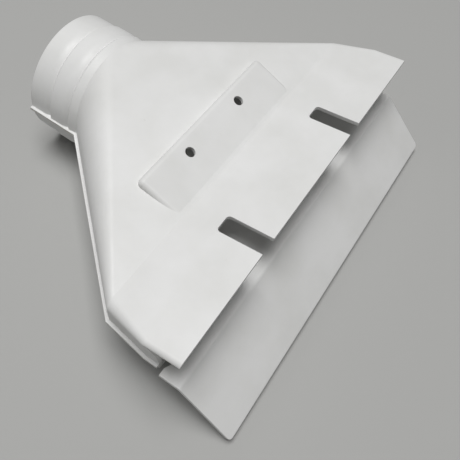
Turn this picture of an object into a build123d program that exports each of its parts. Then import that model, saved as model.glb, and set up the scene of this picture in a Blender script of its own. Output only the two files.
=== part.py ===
"""Cowl vent of a boat's blower duct: two moulded half shells bonded on one flat split plane.

Frame: origin at the centre of the hose collar's open rim, +Y along the collar towards the mouth,
+Z up out of the split plane, which is z = 0, and +X across the vent. All sizes are millimetres.
"""
from build123d import *
import math
import os

# driving dimensions
WALL = 2.5                  # moulded wall of both shells
GLUE = 0.4                  # cement film between the two flanges
FLANGE_T = 0.8              # thickness of each shell's flange
FLANGE_W = 2.0              # how far the flange stands out from the wall

COLLAR_R = 38.0             # outside of the collar, for 76 mm (3 in) hose
COLLAR_L = 35.0             # open rim to the start of the fan
RING_PITCH = 14.0           # one step of the collar's saw-tooth rings
RING_CREST = 0.7            # how far the later rings stand above the first
RING_DIP = 1.2              # how far each ring falls away before the next step
RING_NOSE = 5.0             # length of the rounded fall at the end of a ring
RING_RISE = 1.6             # length of the sloping step up to the next ring

CREASE_Y = 126.0            # where the fan meets the straight mouth section
MOUTH_Y = 173.0             # front edge of the upper shell
WALL_END_Y = 160.0          # where the side walls and the flanges stop
CREASE_HALF = 118.2         # half width outside the wall at the split plane, at the crease
STRAIGHT_Y = 152.0          # from here on the side walls run straight to the front
MOUTH_HALF = 122.0          # half width at the split plane along the straight run
CREASE_TOP_HALF = 119.2     # half width at the top at the crease
MOUTH_TOP_HALF = 125.2      # half width at the top along the straight run; the walls lean outwards
CREASE_TOP = 20.5           # upper shell's height at the crease
MOUTH_TOP = 28.0            # upper shell's height at the front edge
FLOOR_Z = -5.4              # inside face of the lower shell's flat floor
CREASE_R = 24.0             # easing of the hollow crease
SHOULDER_R = 6.0            # rounding of the upper corners at the crease
EDGE_R = 3.0                # the same rounding by the front edge, and on the shallow lower shell
FLAT = 1.0                  # small flat at each quarter of the round end of the fan

SLOT_IN = 43.5              # nearer side of each slot from the middle
SLOT_OUT = 54.8             # further side of each slot
SLOT_L = 27.5               # slot depth back from the front edge
SLOT_R = 2.2                # rounding of the slot's two inner corners

PAD_HALF = 59.0             # half width of the raised screw pad
PAD_REAR_Y = 97.0
PAD_REAR_Z = 31.0
PAD_FRONT_Y = 123.5
PAD_FRONT_Z = 21.0
PAD_R = 3.0                 # rounding of the pad's edges
HOLE_R = 3.0                # screw holes in the pad
HOLE_HALF = 24.4            # half of the hole spacing
HOLE_ALONG = 11.0           # holes from the pad's rear edge, along its face

LIP_BEND_Y = 174.5          # crease where the floor turns down into the lip
LIP_END_Y = 208.5
LIP_END_Z = -33.2
LIP_BEND_R = 3.0
LIP_CORNER_R = 2.5
LIP_HALF = 125.0            # half width of the lip
RELIEF_HALF = 112.0         # the floor's corners are slit free of the walls beyond this half width
RELIEF_IN = 6.0             # width of each slit at its inner end
RELIEF_OUT = 2.0            # width of each slit at its outer end
WALL_CORNER = 8.0           # rounded upper corner of each side wall's free end

HALF_GLUE = GLUE / 2
BIG = 400.0                 # reach of the trimming boxes
PAST = 10.0                 # how far a cutting solid runs past the wall it cuts


def box_between(low, high):
    """An axis-aligned box from its lowest corner to its highest."""
    size = [b - a for a, b in zip(low, high)]
    middle = [(a + b) / 2 for a, b in zip(low, high)]
    return Pos(*middle) * Box(*size)


def side_prism(points, half_width):
    """A closed outline of (y, z) points carried across the vent to both sides."""
    outline = Polyline(*[(-half_width, y, z) for y, z in points], close=True)
    return extrude(make_face(outline), amount=2 * half_width, dir=(1, 0, 0))


def half_section(y, foot, top, height, corner_r, side):
    """Half of the duct's section, above the split plane (side 1) or below it (side -1).

    foot is the half width at the split plane and top is the half width at the full height.
    """
    lean = math.atan2(top - foot, height)
    tangent = corner_r * math.tan((math.pi / 2 + lean) / 2)
    low = (top - tangent * math.sin(lean), height - tangent * math.cos(lean))
    high = (top - tangent, height)
    to_centre = math.pi / 4 - lean / 2
    reach = corner_r / math.cos((math.pi / 2 + lean) / 2) - corner_r
    crown = (top - reach * math.cos(to_centre), height - reach * math.sin(to_centre))
    corners = [(-foot, 0), (-low[0], low[1]), (-crown[0], crown[1]), (-high[0], high[1])]
    points = [(x, y, side * z) for x, z in corners]
    points += [(-x, py, z) for x, py, z in reversed(points)]
    edges = [
        Line(points[0], points[1]),
        ThreePointArc(points[1], points[2], points[3]),
        Line(points[3], points[4]),
        ThreePointArc(points[4], points[5], points[6]),
        Line(points[6], points[7]),
        Line(points[7], points[0]),
    ]
    return make_face(edges)


def top_height(y):
    """Height of the front panel's top face at y."""
    return CREASE_TOP + (MOUTH_TOP - CREASE_TOP) * (y - CREASE_Y) / (MOUTH_Y - CREASE_Y)


def fan_and_mouth(inset, side, sections):
    """The solid form of one half from the collar to the mouth, made smaller by inset.

    Each section is (y, foot half width, top half width, height, corner radius) of the outside.
    """
    round_r = COLLAR_R - inset
    start = half_section(COLLAR_L, round_r, round_r, round_r, round_r - FLAT, side)
    faces = [start] + [half_section(y, *[v - inset for v in sizes], side) for y, *sizes in sections]
    form = loft(faces[:2], ruled=True)
    for rear, front in zip(faces[1:], faces[2:]):
        form += loft([rear, front], ruled=True)
    return form


def collar_profile(bore_r):
    """Saw-tooth outline of the collar wall as (radius, y) edges, closed along the bore."""
    edges = []
    start = 0.0
    crest = COLLAR_R
    for end in (RING_PITCH, 2 * RING_PITCH):
        nose = end - RING_NOSE
        low = crest - RING_DIP
        middle = (crest - RING_DIP * 0.32, nose + RING_NOSE * 0.62, 0)
        edges.append(Line((crest, start, 0), (crest, nose, 0)))
        edges.append(ThreePointArc((crest, nose, 0), middle, (low, end, 0)))
        crest = COLLAR_R + RING_CREST
        start = end + RING_RISE
        edges.append(Line((low, end, 0), (crest, start, 0)))
    edges.append(Line((crest, start, 0), (COLLAR_R, COLLAR_L, 0)))
    edges.append(Line((COLLAR_R, COLLAR_L, 0), (bore_r, COLLAR_L, 0)))
    edges.append(Line((bore_r, COLLAR_L, 0), (bore_r, 0, 0)))
    edges.append(Line((bore_r, 0, 0), (COLLAR_R, 0, 0)))
    return make_face(edges)


def collar():
    """The whole ringed collar, revolved about the vent's Y axis."""
    return revolve(collar_profile(COLLAR_R - WALL), axis=Axis.Y, revolution_arc=360)


def flange_plan(outset):
    """Plan of the vent's wall at the split plane, grown by outset, as one closed face."""
    fan_angle = math.atan2(CREASE_HALF - COLLAR_R, CREASE_Y - COLLAR_L)
    grow = outset / math.cos(fan_angle)
    start_y = COLLAR_L - outset * math.tan(fan_angle / 2)
    crease_x = CREASE_HALF + outset
    crease_y = CREASE_Y + (crease_x - CREASE_HALF - grow) / math.tan(fan_angle)
    end_x = MOUTH_HALF + outset
    right = [(COLLAR_R + outset, 0), (COLLAR_R + outset, start_y), (crease_x, crease_y),
             (end_x, STRAIGHT_Y), (end_x, WALL_END_Y)]
    left = [(-x, y) for x, y in reversed(right)]
    return make_face(Polyline(*right, *left, close=True))


def bore():
    """The air path through the collar, as a plain cylinder."""
    return Rot(-90, 0, 0) * Pos(0, 0, COLLAR_L / 2) * Cylinder(COLLAR_R - WALL, COLLAR_L)


def flange(side):
    """The flat bonding flange of one shell, on both sides of the vent, clear of the air path."""
    plate = extrude(flange_plan(FLANGE_W), amount=side * (HALF_GLUE + FLANGE_T))
    return plate - bore()


def end_notch():
    """Side outline of what is cut from the upper shell's walls ahead of their free ends."""
    back_y = WALL_END_Y - WALL_CORNER
    back_z = top_height(back_y) - WALL
    front_z = top_height(MOUTH_Y + PAST) - WALL
    low_z = back_z - WALL_CORNER
    bulge = WALL_CORNER * (1 - math.sqrt(0.5))
    x = -MOUTH_TOP_HALF - PAST
    corner = ThreePointArc(
        (x, WALL_END_Y, low_z), (x, WALL_END_Y - bulge, back_z - bulge), (x, back_y, back_z))
    front_y = MOUTH_Y + PAST
    rest = Polyline((x, back_y, back_z), (x, front_y, front_z), (x, front_y, -PAST),
                    (x, WALL_END_Y, -PAST), (x, WALL_END_Y, low_z))
    outline = make_face(corner.edges() + rest.edges())
    return extrude(outline, amount=-2 * x, dir=(1, 0, 0))


def pad_points(inset):
    """Side outline of the screw pad's wedge, made smaller by inset."""
    drop = (PAD_REAR_Z - PAD_FRONT_Z) / (PAD_FRONT_Y - PAD_REAR_Y)
    rear_y = PAD_REAR_Y + inset
    sunk = inset * math.sqrt(1 + drop * drop)
    rear_z = PAD_REAR_Z - drop * inset - sunk
    root_z = PAD_FRONT_Z - WALL
    return [(rear_y, root_z - inset), (rear_y, rear_z), (PAD_FRONT_Y, PAD_FRONT_Z - sunk),
            (PAD_FRONT_Y, root_z - inset)]


def pad_block():
    """The raised pad, with the edges of its face and its two rear corners rounded."""
    block = side_prism(pad_points(0.0), PAD_HALF)
    rear_top = block.edges().filter_by(Axis.X).sort_by(Axis.Z)[-1:]
    upright = block.edges().filter_by(Axis.Z).group_by(Axis.Y)[0]
    ends = block.edges().filter_by(lambda e: e.bounding_box().size.Y > 1 and e.center().Z > PAD_FRONT_Z)
    return fillet(list(rear_top) + list(upright) + list(ends), PAD_R)


def pad_frame():
    """Plane of the pad's face, on the middle line between the two holes."""
    slope = math.atan2(PAD_REAR_Z - PAD_FRONT_Z, PAD_FRONT_Y - PAD_REAR_Y)
    centre_y = PAD_REAR_Y + HOLE_ALONG * math.cos(slope)
    centre_z = PAD_REAR_Z - HOLE_ALONG * math.sin(slope)
    return Pos(0, centre_y, centre_z) * Rot(-math.degrees(slope), 0, 0)


def screw_holes():
    """The two screw holes, square to the pad's face."""
    drill = Cylinder(HOLE_R, 2 * PAST)
    return [pad_frame() * Pos(side * HOLE_HALF, 0, 0) * drill for side in (-1, 1)]


def slots():
    """The two open-ended slots in the front edge, with rounded inner corners."""
    cuts = []
    length = SLOT_L + PAST
    for side in (-1, 1):
        x = side * (SLOT_IN + SLOT_OUT) / 2
        blank = Pos(x, MOUTH_Y - SLOT_L + length / 2, MOUTH_TOP) * Box(SLOT_OUT - SLOT_IN, length, 3 * PAST)
        inner = blank.edges().filter_by(Axis.Z).group_by(Axis.Y)[0]
        cuts.append(fillet(inner, SLOT_R))
    return cuts


def above(part):
    """Keep what lies above the cement film."""
    return part - box_between((-BIG, -BIG, -BIG), (BIG, BIG, HALF_GLUE))


def below(part):
    """Keep what lies under the cement film."""
    return part - box_between((-BIG, -BIG, -HALF_GLUE), (BIG, BIG, BIG))


def crease_easing():
    """The thin fill that rounds the hollow crease between the fan and the front panel."""
    fall = math.atan2(COLLAR_R - CREASE_TOP, CREASE_Y - COLLAR_L)
    rise = math.atan2(MOUTH_TOP - CREASE_TOP, MOUTH_Y - CREASE_Y)
    half_turn = (fall + rise) / 2
    tangent = CREASE_R * math.tan(half_turn)
    fill = CREASE_R / math.cos(half_turn) - CREASE_R
    x = -CREASE_TOP_HALF + SHOULDER_R + 2 * tangent
    rear = (x, CREASE_Y - tangent * math.cos(fall), CREASE_TOP + tangent * math.sin(fall))
    crown = (x, CREASE_Y, CREASE_TOP + fill)
    front = (x, CREASE_Y + tangent * math.cos(rise), CREASE_TOP + tangent * math.sin(rise))
    root = (x, CREASE_Y, CREASE_TOP - WALL / 2)
    outline = make_face([ThreePointArc(rear, crown, front), Line(front, root), Line(root, rear)])
    return extrude(outline, amount=-2 * x, dir=(1, 0, 0))


def upper_shell():
    """Upper half: half collar, fan, screw pad, flat front panel with slots, short side walls."""
    sections = [(CREASE_Y, CREASE_HALF, CREASE_TOP_HALF, CREASE_TOP, SHOULDER_R),
                (STRAIGHT_Y, MOUTH_HALF, MOUTH_TOP_HALF, top_height(STRAIGHT_Y), EDGE_R),
                (MOUTH_Y, MOUTH_HALF, MOUTH_TOP_HALF, MOUTH_TOP, EDGE_R)]
    outside = fan_and_mouth(0.0, 1, sections) + crease_easing() + pad_block()
    hollow = fan_and_mouth(WALL, 1, sections)
    hollow += side_prism(pad_points(WALL), PAD_HALF - WALL)
    shell = outside + flange(1) - hollow + collar()
    shell = above(shell) - end_notch()
    for cut in slots() + screw_holes():
        shell = shell - cut
    return shell


def lip():
    """The floor's free front: a flat strip past the walls, then the lip turned down."""
    run = LIP_END_Y - LIP_BEND_Y
    drop = LIP_END_Z - FLOOR_Z
    length = math.hypot(run, drop)
    nx, nz = drop / length, -run / length
    bend = math.atan2(-drop, run)
    tuck = WALL * math.tan(bend / 2)
    start_y = CREASE_Y + PAST
    points = [(start_y, FLOOR_Z), (LIP_BEND_Y, FLOOR_Z), (LIP_END_Y, LIP_END_Z),
              (LIP_END_Y + nx * WALL, LIP_END_Z + nz * WALL),
              (LIP_BEND_Y - tuck, FLOOR_Z - WALL), (start_y, FLOOR_Z - WALL)]
    strip = side_prism(points, LIP_HALF)
    bends = strip.edges().filter_by(Axis.X).filter_by(lambda e: abs(e.center().Y - LIP_BEND_Y) < WALL)
    strip = fillet(bends, LIP_BEND_R)
    tips = strip.edges().filter_by(lambda e: e.center().Y > LIP_END_Y - WALL and abs(e.center().X) > 1)
    return fillet(tips, LIP_CORNER_R)


def reliefs():
    """The slit at each side that parts the floor's corner from the end of the side wall."""
    cuts = []
    far = LIP_HALF + PAST
    for side in (-1, 1):
        plan = Polyline((side * RELIEF_HALF, WALL_END_Y), (side * far, WALL_END_Y),
                        (side * far, WALL_END_Y + RELIEF_OUT), (side * (LIP_HALF - 4), WALL_END_Y + RELIEF_OUT),
                        (side * RELIEF_HALF, WALL_END_Y + RELIEF_IN), close=True)
        cuts.append(extrude(make_face(plan), amount=PAST, both=True))
    return cuts


def lower_shell():
    """Lower half: half collar, fan, low side walls, and the floor that runs out into the lip."""
    depth = WALL - FLOOR_Z
    sections = [(CREASE_Y, CREASE_HALF, CREASE_HALF, depth, EDGE_R),
                (STRAIGHT_Y, MOUTH_HALF, MOUTH_HALF, depth, EDGE_R),
                (MOUTH_Y, MOUTH_HALF, MOUTH_HALF, depth, EDGE_R)]
    outside = fan_and_mouth(0.0, -1, sections)
    hollow = fan_and_mouth(WALL, -1, sections)
    body = outside + flange(-1) - hollow
    body -= box_between((-BIG, WALL_END_Y, -BIG), (BIG, BIG, BIG))
    free_floor = lip() - box_between((-BIG, -BIG, -BIG), (BIG, WALL_END_Y, BIG))
    shell = below(body + free_floor + collar())
    for slit in reliefs():
        shell = shell - slit
    return shell


def seam(side):
    """Cement film between the flanges on one side of the vent."""
    film = extrude(flange_plan(FLANGE_W), amount=HALF_GLUE, both=True)
    film -= extrude(flange_plan(-WALL), amount=GLUE, both=True)
    film -= box_between((-COLLAR_R + WALL, -PAST, -PAST), (COLLAR_R - WALL, COLLAR_L + 1, PAST))
    film -= box_between((-MOUTH_HALF - PAST, WALL_END_Y, -PAST), (MOUTH_HALF + PAST, BIG, PAST))
    keep = box_between((0, -BIG, -PAST), (BIG, BIG, PAST)) if side > 0 else box_between(
        (-BIG, -BIG, -PAST), (0, BIG, PAST))
    return film & keep


def main_parts():
    """Each piece of the vent by its node name."""
    return {
        "upper_shell": upper_shell(),
        "lower_shell": lower_shell(),
        "seam_cement_left": seam(-1),
        "seam_cement_right": seam(1),
    }


os.makedirs("parts", exist_ok=True)
for node, shape in main_parts().items():
    export_step(shape, f"parts/{node}.step")
    solids = shape.solids()
    box = shape.bounding_box()
    print(node, len(solids), "solid(s)", round(sum(s.volume for s in solids)), "mm3", box.min, box.max)
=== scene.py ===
import bpy
from mathutils import Matrix, Vector


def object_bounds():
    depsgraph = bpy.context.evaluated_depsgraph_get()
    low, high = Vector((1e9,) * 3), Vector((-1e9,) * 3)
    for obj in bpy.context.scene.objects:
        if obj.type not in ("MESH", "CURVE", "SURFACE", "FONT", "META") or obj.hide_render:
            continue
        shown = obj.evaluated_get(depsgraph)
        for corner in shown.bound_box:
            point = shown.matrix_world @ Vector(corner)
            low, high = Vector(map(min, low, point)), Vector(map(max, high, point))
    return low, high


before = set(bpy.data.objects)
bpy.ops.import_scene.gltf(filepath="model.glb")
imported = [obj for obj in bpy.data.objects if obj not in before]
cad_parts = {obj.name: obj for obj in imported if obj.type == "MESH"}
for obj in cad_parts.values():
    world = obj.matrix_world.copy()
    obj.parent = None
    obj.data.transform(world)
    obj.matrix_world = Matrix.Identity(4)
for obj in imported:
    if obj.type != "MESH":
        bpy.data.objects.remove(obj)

cad_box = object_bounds()

# ---------------------------------------------------------------------------
# Upper shell: the top half of the duct, one moulding of white ABS about 2.5 mm thick. It carries
# the half collar, the fan, the screw pad and the slotted front panel. Its skin is satin from the
# mould, with the faint mottle and fine haze that a handled white moulding shows.
# ---------------------------------------------------------------------------

SHELL_WHITE = "E6E6E5"
SHELL_SHADE = "DEDEDC"       # the slightly darker patches of the mottle
SHELL_SCUFF = "CBCAC4"       # light scuffs from handling
SHELL_IOR = 1.53
SHELL_ROUGHNESS = 0.46
HAZE_BELOW = 0.06            # how far the roughness wanders below and above satin
HAZE_ABOVE = 0.12
MOTTLE_MM = 34.0             # slow waves of tone across the moulding
SCUFF_MM = 7.0
SCUFF_STRENGTH = 0.35
ORANGE_PEEL_MM = 2.2         # ripple from the mould, drawn coarser than the real one so it shows
ORANGE_PEEL_STRENGTH = 0.06
ORANGE_PEEL_DEPTH = 0.0002
EDGE_BREAK = 0.0005          # moulded edges are broken by about half a millimetre


def linear(hex_colour):
    """An sRGB hex colour as linear red, green, blue and alpha."""
    parts = [int(hex_colour[i:i + 2], 16) / 255 for i in (0, 2, 4)]
    return [c / 12.92 if c <= 0.04045 else ((c + 0.055) / 1.055) ** 2.4 for c in parts] + [1.0]


def add_node(tree, kind, inputs=None, **settings):
    """Add a shader node, set its properties, and fill or link its inputs."""
    node = tree.nodes.new(kind)
    for name, value in settings.items():
        setattr(node, name, value)
    for name, value in (inputs or {}).items():
        if isinstance(value, bpy.types.NodeSocket):
            tree.links.new(value, node.inputs[name])
        else:
            node.inputs[name].default_value = value
    return node


def per_millimetre(size_mm):
    """Texture scale for a feature of this size, in object space metres."""
    return 1000.0 / size_mm


def cover(piece, material):
    """Give one piece of the vent its material."""
    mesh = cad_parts[piece].data
    mesh.materials.clear()
    mesh.materials.append(material)


def moulded_abs(name):
    """Moulded white ABS: even satin skin, slow mottle, small scuffs and a little orange peel."""
    material = bpy.data.materials.new(name)
    material.use_nodes = True
    tree = material.node_tree
    shader = tree.nodes["Principled BSDF"]
    where = add_node(tree, "ShaderNodeTexCoord").outputs["Object"]
    mottle = add_node(tree, "ShaderNodeTexNoise", {
        "Vector": where, "Scale": per_millimetre(MOTTLE_MM), "Detail": 4.0, "Roughness": 0.55})
    tone = add_node(tree, "ShaderNodeMapRange", {
        "Value": mottle.outputs["Fac"], "From Min": 0.35, "From Max": 0.68})
    skin = add_node(tree, "ShaderNodeMix", {
        "Factor": tone.outputs["Result"], "A": linear(SHELL_WHITE), "B": linear(SHELL_SHADE)},
        data_type="RGBA")
    marks = add_node(tree, "ShaderNodeTexNoise", {
        "Vector": where, "Scale": per_millimetre(SCUFF_MM), "Detail": 7.0, "Roughness": 0.7})
    worn = add_node(tree, "ShaderNodeMapRange", {
        "Value": marks.outputs["Fac"], "From Min": 0.64, "From Max": 0.78,
        "To Max": SCUFF_STRENGTH})
    colour = add_node(tree, "ShaderNodeMix", {
        "Factor": worn.outputs["Result"], "A": skin.outputs["Result"], "B": linear(SHELL_SCUFF)},
        data_type="RGBA")
    haze = add_node(tree, "ShaderNodeMapRange", {
        "Value": marks.outputs["Fac"], "From Min": 0.3, "From Max": 0.75,
        "To Min": SHELL_ROUGHNESS - HAZE_BELOW, "To Max": SHELL_ROUGHNESS + HAZE_ABOVE})
    ripple = add_node(tree, "ShaderNodeTexNoise", {
        "Vector": where, "Scale": per_millimetre(ORANGE_PEEL_MM), "Detail": 2.0})
    edges = add_node(tree, "ShaderNodeBevel", {"Radius": EDGE_BREAK}, samples=6)
    bump = add_node(tree, "ShaderNodeBump", {
        "Height": ripple.outputs["Fac"], "Strength": ORANGE_PEEL_STRENGTH,
        "Distance": ORANGE_PEEL_DEPTH, "Normal": edges.outputs["Normal"]})
    tree.links.new(colour.outputs["Result"], shader.inputs["Base Color"])
    tree.links.new(haze.outputs["Result"], shader.inputs["Roughness"])
    tree.links.new(bump.outputs["Normal"], shader.inputs["Normal"])
    shader.inputs["IOR"].default_value = SHELL_IOR
    return material


shell_abs = moulded_abs("moulded white ABS")
cover("upper_shell", shell_abs)

# ---------------------------------------------------------------------------
# Lower shell: the under half, the same white ABS from its own mould. Its floor runs out past the
# mouth and is bent down into the lip. It is bonded to the upper shell along the thin flange.
# ---------------------------------------------------------------------------

cover("lower_shell", shell_abs)

# ---------------------------------------------------------------------------
# Seam: solvent cement between the two flanges, a film on each side of the duct that holds the
# shells together. Dried, it is slightly yellow and shows only as a fine line along the rim.
# ---------------------------------------------------------------------------

CEMENT = "CFC9B4"
CEMENT_DARK = "B9B198"
CEMENT_IOR = 1.52
CEMENT_ROUGHNESS = 0.25
CEMENT_BEAD_MM = 4.0         # uneven squeeze of the cement along the joint


def dried_cement(name):
    """Dried ABS cement: slightly yellow and glossier than the moulding, uneven along the joint."""
    material = bpy.data.materials.new(name)
    material.use_nodes = True
    tree = material.node_tree
    shader = tree.nodes["Principled BSDF"]
    where = add_node(tree, "ShaderNodeTexCoord").outputs["Object"]
    beads = add_node(tree, "ShaderNodeTexNoise", {
        "Vector": where, "Scale": per_millimetre(CEMENT_BEAD_MM), "Detail": 3.0})
    colour = add_node(tree, "ShaderNodeMix", {
        "Factor": beads.outputs["Fac"], "A": linear(CEMENT), "B": linear(CEMENT_DARK)},
        data_type="RGBA")
    tree.links.new(colour.outputs["Result"], shader.inputs["Base Color"])
    shader.inputs["Roughness"].default_value = CEMENT_ROUGHNESS
    shader.inputs["IOR"].default_value = CEMENT_IOR
    return material


cement = dried_cement("dried ABS cement")
cover("seam_cement_left", cement)
cover("seam_cement_right", cement)

# ---------------------------------------------------------------------------
# Setting: a plain pale floor under the vent, one broad light overhead and a weak fill, and a
# camera that looks down on the front panel from the mouth side, past one corner.
# ---------------------------------------------------------------------------

FLOOR_SIZE = 3.0
FLOOR_COLOUR = "AFAFAD"
FLOOR_ROUGHNESS = 0.9
ROOM_COLOUR = "FFFFFF"
ROOM_STRENGTH = 0.08
VIEW_RIGHT = Vector((-0.5465, 0.8291, 0.1178))
VIEW_UP = Vector((-0.6875, -0.5245, 0.5023))
VIEW_FROM = Vector((0.1886, 0.2070, 0.2710))
LENS = 43.83
SENSOR = 36.0
NEAREST = 0.01

scene = bpy.context.scene


def plain_floor():
    """A matt pale sheet that the vent lies on."""
    mesh = bpy.data.meshes.new("floor")
    half = FLOOR_SIZE / 2
    low = cad_box[0][2]
    corners = [(-half, -half, low), (half, -half, low), (half, half, low), (-half, half, low)]
    mesh.from_pydata(corners, [], [(0, 1, 2, 3)])
    floor = bpy.data.objects.new("floor", mesh)
    bpy.context.collection.objects.link(floor)
    material = bpy.data.materials.new("matt pale card")
    material.use_nodes = True
    shader = material.node_tree.nodes["Principled BSDF"]
    shader.inputs["Base Color"].default_value = linear(FLOOR_COLOUR)
    shader.inputs["Roughness"].default_value = FLOOR_ROUGHNESS
    mesh.materials.append(material)


def area_light(name, towards, distance, size, watts):
    """A square soft light that stands off the vent's middle and points at it."""
    middle = (Vector(cad_box[0]) + Vector(cad_box[1])) / 2
    data = bpy.data.lights.new(name, "AREA")
    data.shape = "SQUARE"
    data.size = size
    data.energy = watts
    light = bpy.data.objects.new(name, data)
    bpy.context.collection.objects.link(light)
    away = Vector(towards).normalized()
    light.location = middle + away * distance
    light.rotation_euler = (-away).to_track_quat("-Z", "Y").to_euler()


def pale_room():
    """Weak even light from all around."""
    world = bpy.data.worlds.new("studio")
    world.use_nodes = True
    background = world.node_tree.nodes["Background"]
    background.inputs["Color"].default_value = linear(ROOM_COLOUR)
    background.inputs["Strength"].default_value = ROOM_STRENGTH
    scene.world = world


def place_camera():
    """A camera with no depth of field, turned so the view's right and up are as given."""
    data = bpy.data.cameras.new("camera")
    data.lens = LENS
    data.sensor_width = SENSOR
    data.clip_start = NEAREST
    camera = bpy.data.objects.new("camera", data)
    bpy.context.collection.objects.link(camera)
    right = VIEW_RIGHT.normalized()
    back = right.cross(VIEW_UP).normalized()
    up = back.cross(right)
    turn = Matrix((right, up, back)).transposed()
    camera.matrix_world = Matrix.Translation(VIEW_FROM) @ turn.to_4x4()
    scene.camera = camera


plain_floor()
area_light("key", towards=(0.06, -0.06, 0.97), distance=2.3, size=1.3, watts=49.0)
area_light("fill", towards=(0.80, -0.90, 0.75), distance=1.8, size=0.9, watts=0.3)
pale_room()
place_camera()
scene.view_settings.view_transform = "Standard"
